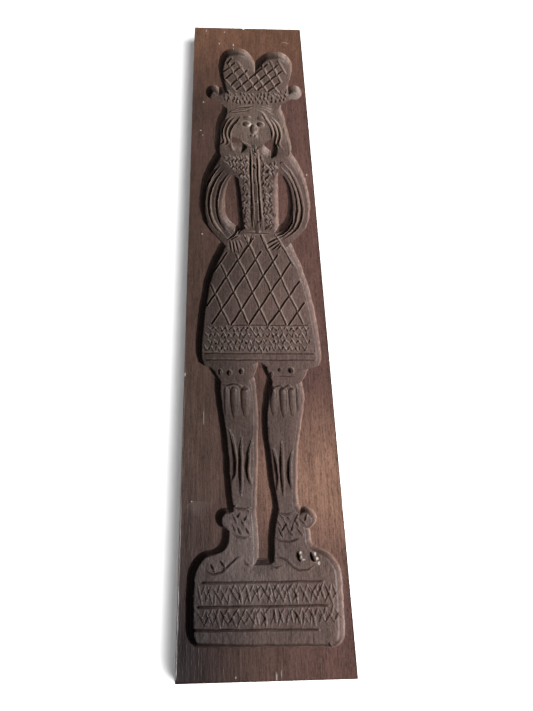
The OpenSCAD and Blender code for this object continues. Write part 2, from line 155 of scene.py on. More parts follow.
@dataclass
class FaceNet:
    """The carved face as heights on a square net, in millimetres above the board's underside."""

    width: float
    length: float
    pitch: float
    floor: float
    arris: float = 0.2
    arris_run: float = 0.6
    heights: np.ndarray = field(init=False)
    bare_and_lit: np.ndarray = field(init=False)
    darkening: np.ndarray = field(init=False)

    def __post_init__(self) -> None:
        """Lays out the net over the whole face."""
        self.columns = round(self.width / self.pitch) + 1
        self.rows = round(self.length / self.pitch) + 1
        self.x = np.linspace(-self.width / 2, self.width / 2, self.columns)
        self.y = np.linspace(0, self.length, self.rows)
        self.heights, self.bare_and_lit, self.darkening = (np.zeros((self.rows, self.columns)) for _ in range(3))

    def read_board(self, board: bpy.types.Object) -> None:
        """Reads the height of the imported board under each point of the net.

        Args:
            board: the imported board, which is left as it is.
        """
        copy = bmesh.new()
        copy.from_mesh(board.data)
        bmesh.ops.remove_doubles(copy, verts=copy.verts, dist=1e-6)
        tree = BVHTree.FromBMesh(copy)
        down = Vector((0, 0, -1))
        # The rays start a metre up and stay a hair inside the board's outline
        hair = 1e-3
        xs = np.clip(self.x, -self.width / 2 + hair, self.width / 2 - hair) * MM
        ys = (np.clip(self.y, hair, self.length - hair) - self.length / 2) * MM
        for row, y in zip(self.heights, ys):
            for i, x in enumerate(xs):
                spot = tree.ray_cast(Vector((x, y, 1)), down)[0]
                row[i] = spot.z / MM if spot else 0
        copy.free()
        # The worn arris is finer than the solid's chamfer
        border = (np.abs(self.x)[None, :] > self.width / 2 - self.arris_run) | (
            np.abs(self.y - self.length / 2)[:, None] > self.length / 2 - self.arris_run
        )
        self.heights[border] = np.maximum(self.heights[border], self.heights.max() - self.arris)

    def inside(self, outline: Outline) -> np.ndarray:
        """Tells which points of the net lie inside an outline.

        Args:
            outline: its corners.

        Returns:
            True where a point is inside.
        """
        x, y = self.x[None, :], self.y[:, None]
        inside = np.zeros(self.heights.shape, bool)
        for (x0, y0), (x1, y1) in zip(outline, outline[1:] + outline[:1]):
            if y0 != y1:
                crossing = (x1 - x0) * (y - y0) / (y1 - y0) + x0
                inside ^= ((y0 > y) != (y1 > y)) & (x < crossing)
        return inside

    def drift(self, reach: float, seed: int) -> np.ndarray:
        """Makes smooth uneven values from -1 to 1 over the net.

        Args:
            reach: the distance over which the values change, in millimetres.
            seed: starts the random numbers.

        Returns:
            One value for each point of the net.
        """
        draw = np.random.default_rng(seed)
        coarse = draw.uniform(-1, 1, (int(self.length / reach) + 3, int(self.width / reach) + 3))
        u = self.y / reach
        v = (self.x + self.width / 2) / reach
        return spline_up(spline_up(coarse, u).T, v).T

    def blur(self, values: np.ndarray, radius: float) -> np.ndarray:
        """Averages values of the net with their neighbours.

        Args:
            values: one value for each point of the net.
            radius: how far, in millimetres.

        Returns:
            The rounded values.
        """
        for _ in range(max(1, round(2 * (radius / self.pitch) ** 2))):
            grown = np.pad(values, 1, mode="edge")
            tall = (grown[:-2] + 2 * grown[1:-1] + grown[2:]) / 4
            values = (tall[:, :-2] + 2 * tall[:, 1:-1] + tall[:, 2:]) / 4
        return values

    def shift(self, dx: np.ndarray, dy: np.ndarray) -> None:
        """Moves the carving sideways by small uneven distances.

        Args:
            dx: distance to the right, in millimetres.
            dy: distance towards the hat, in millimetres.
        """
        u = np.clip(self.x[None, :] + self.width / 2 - dx, 0, self.width) / self.pitch
        v = np.clip(self.y[:, None] - dy, 0, self.length) / self.pitch
        self.heights = bilinear(self.heights, u, v)

    def level(self, outline: Outline) -> None:
        """Fills the cuts inside an outline up to the figure's floor.

        Args:
            outline: corners of the area.
        """
        filled = np.maximum(self.heights, self.floor)
        self.heights = np.where(self.inside(outline), filled, self.heights)

    def window(self, x0: float, y0: float, x1: float, y1: float) -> tuple[slice, slice]:
        """Finds the part of the net that holds a rectangle."""
        half = self.width / 2
        i = np.clip([(x0 + half) / self.pitch, (x1 + half) / self.pitch + 2], 0, self.columns)
        j = np.clip([y0 / self.pitch, y1 / self.pitch + 2], 0, self.rows)
        return slice(int(j[0]), int(j[1])), slice(int(i[0]), int(i[1]))

    def cut(self, stroke: Stroke) -> None:
        """Cuts one V stroke into the floor.

        Args:
            stroke: the stroke.
        """
        (x0, y0), (x1, y1) = stroke.start, stroke.end
        room = stroke.width
        part = self.window(
            min(x0, x1) - room, min(y0, y1) - room, max(x0, x1) + room, max(y0, y1) + room
        )
        x = self.x[part[1]][None, :]
        y = self.y[part[0]][:, None]
        run = math.hypot(x1 - x0, y1 - y0)
        along = ((x - x0) * (x1 - x0) + (y - y0) * (y1 - y0)) / run**2
        across = np.abs((x - x0) * (y1 - y0) - (y - y0) * (x1 - x0)) / run
        t = np.clip(along, 0, 1)
        rise = np.where(t < stroke.widest, t / stroke.widest, (1 - t) / (1 - stroke.widest))
        half = stroke.width / 2 * np.sin(rise * math.pi / 2) ** 0.8
        depth = stroke.steep * 2 * (half - across)
        depth = np.where((along > 0) & (along < 1), depth, -1)
        now = self.heights[part]
        # A wall that a stroke runs into is cut as if it stood 1.2 mm above the floor
        base = np.minimum(now, self.floor + 1.2)
        self.heights[part] = np.where(depth > 0, np.minimum(now, base - depth), now)

    def open_cuts(self, foot: float, top: float, times: float, wider: float, round_off: float) -> None:
        """Makes every cut of one stretch of the figure wider and deeper, and the wood between rounder.

        Args:
            foot: where the stretch begins.
            top: where it ends.
            times: how many times as deep.
            wider: how far each side of a cut moves out, in millimetres.
            round_off: how much the wood beside a cut falls off towards it.
        """
        low = np.minimum(self.heights, self.floor)
        for _ in range(round(wider / self.pitch)):
            grown = np.pad(low, 1, mode="edge")
            beside = (grown[:-2, 1:-1], grown[2:, 1:-1], grown[1:-1, :-2], grown[1:-1, 2:])
            low = np.minimum.reduce([low, *beside])
        depth = self.floor - low
        base = np.maximum(self.heights, np.minimum(self.floor, self.heights + depth))
        cut = base - times * depth - round_off * self.blur(depth, 0.9)
        stretch = ((self.y >= foot) & (self.y < top))[:, None]
        self.heights = np.where(stretch, cut, self.heights)

    def ramp(self, outline: Outline, foot: float, slope: float, darkening: float) -> None:
        """Pares what stands inside an outline down to a slope that rises towards the hat.

        Args:
            outline: corners of the area.
            foot: where the slope leaves the floor.
            slope: its rise for each millimetre.
            darkening: how much darker the pared part is coloured, as painted shade.
        """
        inside = self.inside(outline)
        rise = self.floor + np.maximum((self.y[:, None] - foot) * slope, 0)
        self.darkening = np.maximum(self.darkening, darkening * (inside & (self.heights > rise)))
        self.heights = np.where(inside, np.minimum(self.heights, rise), self.heights)

    def steepen(self, outline: Outline, face: float, times: float) -> None:
        """Makes the walls inside an outline steeper, with their tops left about where they are.

        Args:
            outline: corners of the area.
            face: height of the face.
            times: how many times as steep.
        """
        # The share of a wall's height that stays at its place
        pivot = 0.85
        wall = self.inside(outline) & (self.heights > self.floor)
        share = (self.heights - self.floor) / (face - self.floor)
        share = np.clip((share - pivot) * times + pivot, 0, share.max())
        steeper = self.floor + (face - self.floor) * share
        self.heights = np.where(wall, np.minimum(steeper, face), self.heights)

    def sink(self, outline: Outline, depth: float, darkening: float) -> None:
        """Takes a flat strip of the floor down.

        Args:
            outline: corners of the strip.
            depth: how far down.
            darkening: how much darker the strip is coloured.
        """
        inside = self.inside(outline)
        self.heights = np.where(inside, np.minimum(self.heights, self.floor - depth), self.heights)
        self.darkening = np.maximum(self.darkening, darkening * inside)

    def scoop(self, spot: Pair, size: Pair, depth: float, bare_and_lit: float = 0, blunt: float = 1) -> None:
        """Scoops a round hollow out of whatever is there.

        Args:
            spot: its middle.
            size: its width and height.
            depth: its depth.
            bare_and_lit: how pale it is painted, as lost stain and at some spots as painted highlight.
            blunt: how many times shorter its upper half is.
        """
        part = self.window(spot[0] - size[0], spot[1] - size[1], spot[0] + size[0], spot[1] + size[1])
        x = (self.x[part[1]][None, :] - spot[0]) / (size[0] / 2)
        y = (self.y[part[0]][:, None] - spot[1]) / (size[1] / 2)
        y = np.where(y > 0, y * blunt, y)
        bowl = np.sqrt(np.clip(1 - x**2 - y**2, 0, 1))
        self.heights[part] -= depth * bowl
        self.bare_and_lit[part] = np.maximum(self.bare_and_lit[part], bare_and_lit * bowl)

    def ledge_walls(self, face: float) -> None:
        """Leaves the steps of the gouge along the sloping walls.

        Args:
            face: height of the face.
        """
        step, depth = 1.9, 0.24
        share = (face - self.heights) / (face - self.floor)
        wall = np.clip(np.minimum(share, 1 - share) * 5, 0, 1)
        # The steps wander up and down along the wall
        phase = self.heights * 2 * math.pi / step + 1.6 * self.drift(11, 31)
        self.heights += depth * wall * np.sin(phase)


def spline_up(values: np.ndarray, places: np.ndarray) -> np.ndarray:
    """Reads smooth values between the rows of an array.

    Args:
        values: the array.
        places: where to read, in rows.

    Returns:
        One row for each place.
    """
    low = places.astype(int)
    t = (places - low)[:, None]
    t = t * t * (3 - 2 * t)
    return values[low] * (1 - t) + values[low + 1] * t


def bilinear(values: np.ndarray, u: np.ndarray, v: np.ndarray) -> np.ndarray:
    """Reads an array between its points.

    Args:
        values: the array.
        u: columns to read.
        v: rows to read.

    Returns:
        The values there.
    """
    i = np.clip(u.astype(int), 0, values.shape[1] - 2)
    j = np.clip(v.astype(int), 0, values.shape[0] - 2)
    s, t = u - i, v - j
    low = values[j, i] * (1 - s) + values[j, i + 1] * s
    high = values[j + 1, i] * (1 - s) + values[j + 1, i + 1] * s
    return low * (1 - t) + high * t


@dataclass
class ChipCarving:
    """The rows of small knife cuts on brim, jacket, skirt border, ankles and plinth."""

    seed: int = 1923
    brim_pitch: float = 4.7
    jacket_pitch: float = 4.7
    border_pitch: float = 5.3
    cross_pitch: float = 5.8
    strokes: list[Stroke] = field(default_factory=list)

    def __post_init__(self) -> None:
        """Starts the hand's unevenness."""
        self.draw = np.random.default_rng(self.seed)

    def near(self, value: float, spread: float) -> float:
        """Gives a value that is off by an uneven amount."""
        return float(value + self.draw.uniform(-spread, spread))

    def add(
        self,
        spot: Pair,
        length: float,
        angle: float,
        width: float,
        widest: float,
        spread: float,
        steep: float = 1.05,
    ) -> None:
        """Cuts one stroke about a spot, off by a little.

        Args:
            spot: its middle.
            length: its length.
            angle: its lean, in degrees from the board's width.
            width: its width.
            widest: where along it the cut is widest, from the start.
            spread: how uneven the hand is, in millimetres.
            steep: how steep its walls are.
        """
        a = math.radians(self.near(angle, 6 + spread * 8))
        half = self.near(length, length * 0.16) / 2
        x, y = self.near(spot[0], spread), self.near(spot[1], spread)
        dx, dy = half * math.cos(a), half * math.sin(a)
        width, steep = self.near(width, width * 0.2), self.near(steep, steep * 0.2)
        self.strokes.append(Stroke((x + dx, y + dy), (x - dx, y - dy), width, widest, steep))

    def brim(self) -> None:
        """Cuts rows of upright leaves between the brim's edges, with a few slanted ones between."""
        for row, height in enumerate((582.0, 588.2, 594.6)):
            for k in range(15):
                x = -27.5 + k * self.brim_pitch + row * 1.7
                self.add((x, height + (x - 3) ** 2 / 240), 7.4, 84 + 5 * row, 3.0, 0.5, 1.5, 0.8)
        for k in range(9):
            x = -22 + k * 7.6
            self.add((x, 591.4 + (x - 3) ** 2 / 240), 5, 118, 1.7, 0.5, 1.6)

    def jacket(self) -> None:
        """Cuts leaves that lean to and fro down both fronts of the jacket."""
        for row in range(21):
            y = 404 + row * self.jacket_pitch
            lean = 26 * (Lean.FORWARD if row % 2 else Lean.BACK).value
            inset = (row % 2) * 1.1
            left = -10.5 - max(0.0, y - 466) * 0.5
            for k in range(7):
                x = -4.0 - k * 3.5 - inset
                if x > left - 0.5:
                    self.add((x, y), 7.6, 90 - lean, 3.0, 0.45, 1.5, 0.62)
            right = 20 + max(0.0, min(y, 490) - 466) * 0.35 if y < 490 else 13
            for k in range(5):
                x = 11.6 + k * 3.5 + inset
                if x < right + 0.5:
                    self.add((x, y), 7.6, 90 + lean, 3.0, 0.45, 1.5, 0.62)

    def border(self) -> None:
        """Cuts four rows of crossed strokes along the skirt's hem."""
        for row in range(4):
            foot = 262.4 + row * 6.9
            for k in range(18):
                x = -42.5 + k * self.border_pitch + (row % 2) * 2.6
                if x > 47:
                    continue
                self.add((x - 1.7, foot + 3.6), 8.0, 116, 1.9, 0.75, 0.8, 0.8)
                self.add((x + 1.4, foot + 3.2), 6.4, 62, 1.7, 0.4, 0.9, 0.8)
                if self.draw.uniform() < 0.45:
                    self.add((x, foot + 2.0), 2.6, 85, 2.2, 0.5, 0.9, 0.7)

    def plinth(self) -> None:
        """Cuts a loose net of crossing strokes into both bands of the plinth."""
        last = 16
        for foot, top in ((35.8, 49.2), (51.0, 65.9)):
            tall = top - foot
            for k in range(last + 1):
                x = -45.5 + k * self.cross_pitch
                wide = 1.5 + 0.4 * k / last
                self.add((x, foot + tall * 0.5), tall, 109, wide + 0.2, 0.7, 1.0, 0.65)
                self.add((x + 1.2, foot + tall * 0.76), tall * 0.62, 66, wide, 0.5, 1.1, 0.6)
                self.add((x + 3.6, foot + tall * 0.3), tall * 0.66, 70, wide, 0.4, 1.2, 0.6)
                if k > last / 2 or self.draw.uniform() < 0.6:
                    self.add((x + 4.2, foot + tall * 0.6), tall * 0.7, 112, 1.4, 0.5, 1.1, 0.7)

    def ankles(self) -> None:
        """Cuts the few strokes of the knitted ankles, each at its own place and a little longer."""
        longer = 0.22
        for x0, y0, x1, y1 in ANKLE_PLACES:
            dx, dy = (x1 - x0) * longer, (y1 - y0) * longer
            width = self.near(1.9, 0.3)
            self.strokes.append(Stroke((x0 - dx, y0 - dy), (x1 + dx, y1 + dy), width, 0.6))

    def all_strokes(self) -> list[Stroke]:
        """Cuts every row in the carver's order and gives them with the strong single strokes."""
        for rows in (self.brim, self.jacket, self.border, self.plinth, self.ankles):
            rows()
        return self.strokes + [Stroke(*row) for row in DEEP_STROKES]


# Strong single strokes: placket, its notches, fringe, toes, the plinth's corner, hands, belt and cuff.
# Both ends, width and, where they matter, where it is widest and how steep it is
DEEP_STROKES = (
    ((0.2, 511), (-1.0, 455), 3.4, 0.3), ((-0.9, 462), (-0.4, 400), 3.2, 0.7),
    ((6.6, 512), (6.6, 452), 3.0, 0.3), ((6.6, 460), (7.7, 400), 3.0, 0.7),
    ((3.1, 490), (4.0, 482), 4.2), ((2.6, 506), (6.0, 499.6), 2.6), ((4.2, 513), (5.4, 507), 2.8),
    ((-20, 568.0), (4, 573.4), 2.2, 0.5, 1.5), ((-16, 571.6), (6, 576.6), 2.2, 0.5, 1.5),
    ((-22, 564.2), (-3, 568.6), 2.0, 0.5, 1.5), ((8, 577.2), (28, 570.2), 1.8, 0.5, 0.7),
    ((8, 573.6), (26, 566.2), 1.8, 0.5, 0.7), ((25.6, 88.6), (28.0, 80.6), 3.8, 0.5, 1.5),
    ((35.6, 88.2), (39.2, 80.0), 4.2, 0.5, 1.5), ((44.6, 24.6), (45.6, 20.8), 2.2),
    ((-38.6, 81.0), (-35.4, 75.0), 1.9, 0.5, 1.4), ((-31.5, 83.0), (-27.4, 77.2), 1.9, 0.5, 1.4),
    ((-11.2, 401.4), (-25.4, 386.6), 2.6, 0.5, 1.3),
    ((-22.6, 388.0), (-20.8, 370.8), 2.3, 0.4, 1.3),
    ((-19.6, 388.0), (-17.6, 369.8), 2.3, 0.4, 1.3),
    ((-17.0, 388.6), (-13.7, 370.4), 2.3, 0.4, 1.3),
    ((-14.0, 388.4), (-10.0, 375.4), 2.1, 0.4, 1.3), ((25.0, 391.2), (11.1, 382.0), 2.3, 0.4, 1.3),
    ((26.0, 387.8), (11.3, 375.8), 2.3, 0.4, 1.3), ((26.6, 385.2), (16.1, 374.2), 2.3, 0.4, 1.3),
    ((27.2, 383.6), (21.7, 374.6), 2.1, 0.4, 1.3), ((-10.4, 396.8), (20.8, 395.6), 2.0, 0.5, 1.2),
    ((-6.7, 394.7), (-4.4, 382.8), 1.7), ((-0.6, 394.1), (-4.3, 382.9), 1.7),
    ((9.1, 394.2), (12.9, 376.3), 1.5), ((20.5, 395.4), (27.0, 382.0), 2.0, 0.5, 1.2),
    ((13.5, 238.3), (37.0, 237.4), 1.4),
)

# Hollows of the face: middle, size, depth and how pale they are painted; the shallow pale spots at the right
# of the eyes and of the nose are painted highlights
FEATURES = (
    ((-3.6, 547.6), (8.6, 8.4), 4.0, 0.0), ((11.2, 547.4), (8.2, 8.0), 3.8, 0.0),
    ((3.8, 539.6), (8.6, 15.5), 4.0, 0.0), ((1.6, 529.9), (4.0, 4.4), 1.8, 0.0),
    ((5.6, 528.9), (4.4, 5.0), 2.0, 0.15), ((-2.6, 557.2), (8.6, 7.0), 1.4, 0.0),
    ((11.6, 556.6), (8.0, 7.0), 1.5, 0.0), ((-0.5, 547.6), (3.6, 4.6), 0.1, 0.9),
    ((14.5, 546.4), (2.6, 3.4), 0.1, 0.5), ((5.8, 537.4), (4.2, 8.6), 0.1, 0.45),
)

# Soft folds of the trousers below the cuffs: middle, size and depth
FOLDS = (
    ((-26.8, 223), (4.0, 44), 1.5), ((-19.8, 223), (7.4, 48), 2.4), ((-10.8, 223), (7.8, 46), 2.4),
    ((12.8, 223), (7.0, 46), 2.3), ((21.2, 222), (6.8, 47), 2.4), ((28.4, 222), (5.8, 44), 2.0),
    ((33.2, 222), (3.2, 36), 1.2),
)

# Scuffs and dents of long use: middle, size, depth and how pale their wood is; the flat pale patch at the
# hat's right knob is a painted highlight
SCUFFS = (
    ((-48, 694), (1.0, 5.0), 0.3, 0.8), ((-27, 692), (1.4, 3.0), 0.3, 0.8),
    ((-33, 671), (1.6, 3.4), 0.3, 0.8), ((-17, 669), (1.5, 4.6), 0.35, 0.9),
    ((-17, 663), (1.0, 2.4), 0.3, 0.9), ((-5, 699.2), (3.2, 3.4), 1.0, 0.7),
    ((42, 675), (8.0, 0.9), 0.25, 0.7), ((45.5, 673.6), (4.0, 0.8), 0.2, 0.6),
    ((-49.7, 571.6), (1.3, 2.6), 0.3, 0.8), ((-30, 570), (1.2, 2.0), 0.2, 0.6),
    ((-52, 528), (1.6, 1.8), 0.3, 0.8), ((-50, 521), (1.2, 1.4), 0.2, 0.6),
    ((55, 466), (1.4, 3.4), 0.3, 0.9), ((53.5, 461), (1.0, 1.6), 0.2, 0.7),
    ((-48.7, 388), (1.6, 1.6), 0.3, 0.8), ((-32, 378), (1.6, 1.4), 0.2, 0.6),
    ((-45, 196), (0.8, 14), 0.25, 0.28), ((-53, 126), (1.1, 1.1), 0.3, 0.7),
    ((-21, 3), (1.0, 1.3), 0.3, 0.7), ((-51, 58), (0.9, 1.1), 0.2, 0.6),
    ((50.2, 590), (15, 21), 0.0, 0.2), ((6, 3), (1.8, 7.0), 0.3, 0.12),
    ((9.5, 4), (1.2, 8.0), 0.2, 0.08), ((-60.9, 236), (1.4, 4.0), 0.5, 0.5),
    ((-1.6, 431.4), (1.9, 2.4), 0.3, 1.0), ((5.6, 437), (2.2, 3.2), 0.1, 0.4),
    ((28.4, 87.6), (2.3, 2.2), -0.7, 1.0), ((28.4, 84.4), (1.5, 2.4), -0.6, 0.8),
    ((30.6, 82.4), (2.6, 1.4), -0.4, 0.8), ((39.2, 86.4), (1.9, 2.8), -0.7, 1.0),
    ((40.6, 83.0), (2.5, 2.4), -0.6, 1.0), ((41.6, 79.6), (2.0, 3.4), -0.4, 0.9),
    ((38.6, 80.4), (1.4, 1.2), -0.4, 0.6), ((60.9, 392), (1.2, 5.0), 0.4, 0.3),
    ((60.8, 120), (1.4, 8.0), 0.4, 0.3),
)

# Areas whose regular chips and hollows are worked again, as outlines
CHIP_AREAS = (
    [
        (-30, 578.4), (-27, 577.8), (40, 577.8), (42, 580), (42, 601.6), (33, 600.6), (20, 598.8),
        (6, 598.8), (-20, 598.4), (-30, 596),
    ],
    [
        (-13, 400.5), (-2.2, 400.5), (-2.4, 505.5), (-31, 505.5), (-31, 499), (-14.6, 477),
        (-13, 468),
    ],
    [
        (9.9, 406.5), (9.9, 400), (23, 400), (23, 466), (30, 488), (30, 494), (16, 494.5),
        (16, 505.5), (8.2, 505.5), (8.2, 440),
    ],
    [(-46.5, 261.8), (52, 261.3), (52, 289.2), (-46.5, 289.2)],
    [(-50.5, 35.2), (51.5, 34.4), (51.5, 48.4), (-50.5, 49.2)],
    [(-50.5, 51), (51.5, 50.2), (51.5, 65.5), (-50.5, 66.2)],
    [(-25, 104.6), (-7, 102.2), (-7, 120), (-22, 120.6), (-25, 121)],
    [(10, 101.2), (31, 101), (33.6, 116.2), (10, 116.4)],
    [(-40.4, 82.4), (-36.6, 83.4), (-33.6, 76.0), (-37, 74.4)],
    [(-33, 84.6), (-29, 85.4), (-26.2, 78.4), (-30, 76.6)],
    [(-28.4, 200), (-5.2, 200), (-5, 226), (-28, 226)],
    [(8.6, 200), (33.6, 200), (34.4, 226), (8.4, 226)],
    [
        (-9, 541), (-1.4, 541), (-1.4, 532), (0, 526), (9, 526), (9, 541), (17, 541), (17, 552.5),
        (-9, 552.5),
    ],
)

# Where cuts are opened up: from y, to y, times as deep, how much wider at each side and how round
OPENED = (
    (399, 562, 1.8, 0.25, 0.8), (372, 399, 1.8, 0.25, 0.4), (562, 579, 1.5, 0.25, 0.4),
    (579, 690, 1.6, 0.25, 0.6), (20, 124, 1.6, 0.25, 0.5), (124, 200, 2.0, 0.5, 0.7),
    (200, 288, 1.6, 0.25, 0.5), (288, 372, 1.9, 0.0, 0.3),
)

# The strokes of the knitted ankles, each from one end to the other
ANKLE_PLACES = (
    (-22, 118, -19, 111), (-15.5, 113.4, -13.3, 109), (-18, 107.4, -15.8, 102.4),
    (-12, 107, -9.8, 102.8), (-16, 118.6, -18.4, 115.4), (-11, 116.4, -13, 113),
    (-22, 110, -20, 104.6), (13.6, 118, 17, 113.6), (19.8, 115.4, 21.2, 112.8),
    (28.2, 117.4, 24.8, 111), (12.8, 107, 15.4, 100), (17.6, 111.8, 20.2, 105),
    (20, 105, 23.2, 100.6), (19.2, 110, 14.6, 103.4), (24.4, 109.6, 22.2, 103.8),
    (27, 106, 30.4, 101), (29.2, 113.2, 33.2, 109.2), (12.4, 112.2, 15, 107),
    (25.6, 113, 27.8, 108), (34.6, 116.6, 33, 112),
)


@dataclass
class MouldBoard:
    """The board itself: its face net, its edges and back, and its stained finish."""

    face_pitch: float = 0.25
    mesh_pitch: float = 1.2
    finer: int = 3
    edge: float = 0.5
    corner: float = 0.5
    figure_depth: float = 7.5
    foot_slant: float = 1.4
    below_cuts: float = 8.0
    most_triangles: int = 188000
    name: str = "carved_board"

    def carve(self, board: bpy.types.Object, size: Vector) -> FaceNet:
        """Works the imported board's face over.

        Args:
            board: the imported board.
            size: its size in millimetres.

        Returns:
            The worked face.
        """
        net = FaceNet(size.x, size.y, self.face_pitch, size.z - self.figure_depth)
        net.read_board(board)
        for area in CHIP_AREAS:
            net.level(area)
        for opened in OPENED:
            net.open_cuts(*opened)
        # The carver's lines stray by up to half a millimetre
        stray = 0.34 * net.drift(9, 11) + 0.16 * net.drift(3.5, 12)
        net.shift(stray, 0.34 * net.drift(9, 13) + 0.16 * net.drift(3.5, 14))
        # The islands beside the neck, the gouged steps, then the feet of the gap and the left island
        net.steepen([(-27, 492), (36, 492), (36, 541), (-27, 541)], size.z, 1.9)
        net.ledge_walls(size.z)
        # Both ramps are also coloured darker where they are pared down, as painted shade
        net.ramp([(-8, 60), (12, 60), (12, 101), (-8, 101)], 79.0, 2.2, 0.5)
        net.ramp([(-22, 492), (-2, 492), (-2, 512), (-22, 512)], 503.0, 0.95, 0.1)
        # The strip between the two lines of the placket, which is also coloured darker
        net.sink([(1.2, 516), (2.4, 396), (5.8, 396), (5.0, 516)], 0.9, 0.45)
        for stroke in ChipCarving().all_strokes():
            net.cut(stroke)
        for feature in FEATURES:
            net.scoop(*feature)
        for fold in FOLDS:
            net.scoop(*fold, blunt=4)
        net.heights = net.blur(net.heights, 0.18)
        # The recess is uneven from the gouge, the face a little hollow from wear
        sunk = np.clip((size.z - net.heights) / self.figure_depth, 0, 1)
        net.heights += sunk * (0.16 * net.drift(14, 21) + 0.07 * net.drift(4.5, 22))
        net.heights -= (1 - sunk) * 0.06 * (1 + net.drift(30, 23))
        for scuff in SCUFFS:
            net.scoop(*scuff)
        return net

    def blank(self, net: FaceNet, size: Vector) -> bmesh.types.BMesh:
        """Makes a closed blank with a square mesh on its face that is finer where the face is carved.

        Args:
            net: the worked face.
            size: length of each side, in millimetres.

        Returns:
            The blank, in millimetres, with x from the middle line and y from the foot end.
        """
        work = bmesh.new()
        place = Matrix.Translation((0, size.y / 2, size.z))
        bmesh.ops.create_grid(
            work,
            x_segments=round(size.x / self.mesh_pitch),
            y_segments=round(size.y / self.mesh_pitch),
            size=0.5,
            matrix=place @ Matrix.Diagonal((size.x, size.y, 1, 1)),
        )
        # Relief of more than 0.03 mm, with 0.9 mm round it, gets the finer mesh
        busy = np.abs(net.heights - net.blur(net.heights, 0.8)) > 0.03
        busy = net.blur(busy.astype(float), 0.9)
        middles = np.array([f.calc_center_median() for f in work.faces])
        carved = self.read(net, busy, middles) > 0.04
        # A dict keeps the edges in one order, so that each run makes the same mesh
        edges = dict.fromkeys(e for f, cut in zip(work.faces, carved) if cut for e in f.edges)
        bmesh.ops.subdivide_edges(work, edges=list(edges), cuts=self.finer, use_grid_fill=True)
        for height in (size.z * 0.5, self.edge, 0.0):
            rim = [e for e in work.edges if e.is_boundary]
            made = bmesh.ops.extrude_edge_only(work, edges=rim)["geom"]
            below = [v for v in made if isinstance(v, bmesh.types.BMVert)]
            for v in below:
                v.co.z = height
            if height == 0:
                bmesh.ops.scale(
                    work,
                    verts=below,
                    vec=(1 - 2 * self.edge / size.x, 1 - 2 * self.edge / size.y, 1),
                    space=Matrix.Translation((0, -size.y / 2, 0)),
                )
        bmesh.ops.holes_fill(work, edges=[e for e in work.edges if e.is_boundary])
        # The foot end was sawn a little out of square, its lower edge further in
        for v in work.verts:
            if v.co.y < self.edge * 1.5:
                v.co.y += self.foot_slant * (1 - v.co.z / size.z)
        return work

    def build(self, net: FaceNet, size: Vector) -> bpy.types.Object:
        """Lays the blank's mesh over the worked face.

        Args:
            net: the worked face.
            size: the board's size in millimetres.

        Returns:
            The finished piece.
        """
        work = self.blank(net, size)
        self.round_corners(work, size)
        top = [v for v in work.verts if v.co.z > size.z * 0.9]
        spots = np.array([v.co for v in top])
        for v, z in zip(top, self.read(net, net.heights, spots)):
            v.co.z = min(z, size.z)
        bmesh.ops.triangulate(work, faces=work.faces)
        bmesh.ops.recalc_face_normals(work, faces=work.faces)
        bmesh.ops.translate(work, verts=work.verts, vec=(0, -size.y / 2, 0))
        bmesh.ops.scale(work, verts=work.verts, vec=(MM, MM, MM))
        mesh = bpy.data.meshes.new(self.name)
        work.to_mesh(mesh)
        work.free()
        mesh.polygons.foreach_set("use_smooth", [True] * len(mesh.polygons))
        piece = bpy.data.objects.new(self.name, mesh)
        bpy.context.scene.collection.objects.link(piece)
        LOG.info("%s: %d triangles before thinning", self.name, len(mesh.polygons))
        thinner = piece.modifiers.new("fewer", "DECIMATE")
        thinner.ratio = min(1.0, self.most_triangles / len(mesh.polygons))
        thinner.use_collapse_triangulate = True
        self.apply(piece)
        self.sharpen(piece, size)
        # The flat face stays flat up to the arris, without a bright seam along it
        flat = piece.modifiers.new("flat_face", "WEIGHTED_NORMAL")
        flat.weight = 60
        flat.keep_sharp = True
        self.apply(piece)
        return piece

    def round_corners(self, work: bmesh.types.BMesh, size: Vector) -> None:
        """Rounds the four upright corners.

        Args:
            work: the blank.
            size: the board's size in millimetres.
        """
        turn = self.corner
        for v in work.verts:
            y = v.co.y - size.y / 2
            beyond = Vector((abs(v.co.x) - size.x / 2 + turn, abs(y) - size.y / 2 + turn))
            if beyond.x > 0 and beyond.y > 0 and beyond.length > turn:
                beyond *= turn / beyond.length
                v.co.x = math.copysign(size.x / 2 - turn + beyond.x, v.co.x)
                v.co.y = size.y / 2 + math.copysign(size.y / 2 - turn + beyond.y, y)

    def sharpen(self, piece: bpy.types.Object, size: Vector) -> None:
        """Marks the edges round the outside as sharp, so that each side is shaded on its own.

        Args:
            piece: the piece.
            size: the board's size in millimetres.
        """
        mesh = piece.data
        beyond = np.abs(self.points(mesh)[:, :2]) - np.array([size.x, size.y]) / 2
        # All points within 0.1 mm of the outside
        outer = beyond.max(axis=1) > -0.1
        ends = np.zeros(len(mesh.edges) * 2, int)
        mesh.edges.foreach_get("vertices", ends)
        mesh.edges.foreach_set("use_edge_sharp", outer[ends[0::2]] & outer[ends[1::2]])

    def points(self, mesh: bpy.types.Mesh) -> np.ndarray:
        """Gives a mesh's points in millimetres, from the board's middle."""
        spots = np.zeros(len(mesh.vertices) * 3)
        mesh.vertices.foreach_get("co", spots)
        return spots.reshape(-1, 3) / MM

    def apply(self, piece: bpy.types.Object) -> None:
        """Makes the piece's modifiers part of its mesh."""
        shown = piece.evaluated_get(bpy.context.evaluated_depsgraph_get())
        mesh = bpy.data.meshes.new_from_object(shown)
        piece.modifiers.clear()
        piece.data = mesh

    def read(self, net: FaceNet, values: np.ndarray, spots: np.ndarray) -> np.ndarray:
        """Reads values of the net under points given in millimetres.

        Args:
            net: the face.
            values: one value for each point of the net.
            spots: the points, y from the foot end.

        Returns:
            The values there.
        """
        u = np.clip((spots[:, 0] + net.width / 2) / net.pitch, 0, net.columns - 1.001)
        v = np.clip(spots[:, 1] / net.pitch, 0, net.rows - 1.001)
        return bilinear(values, u, v)

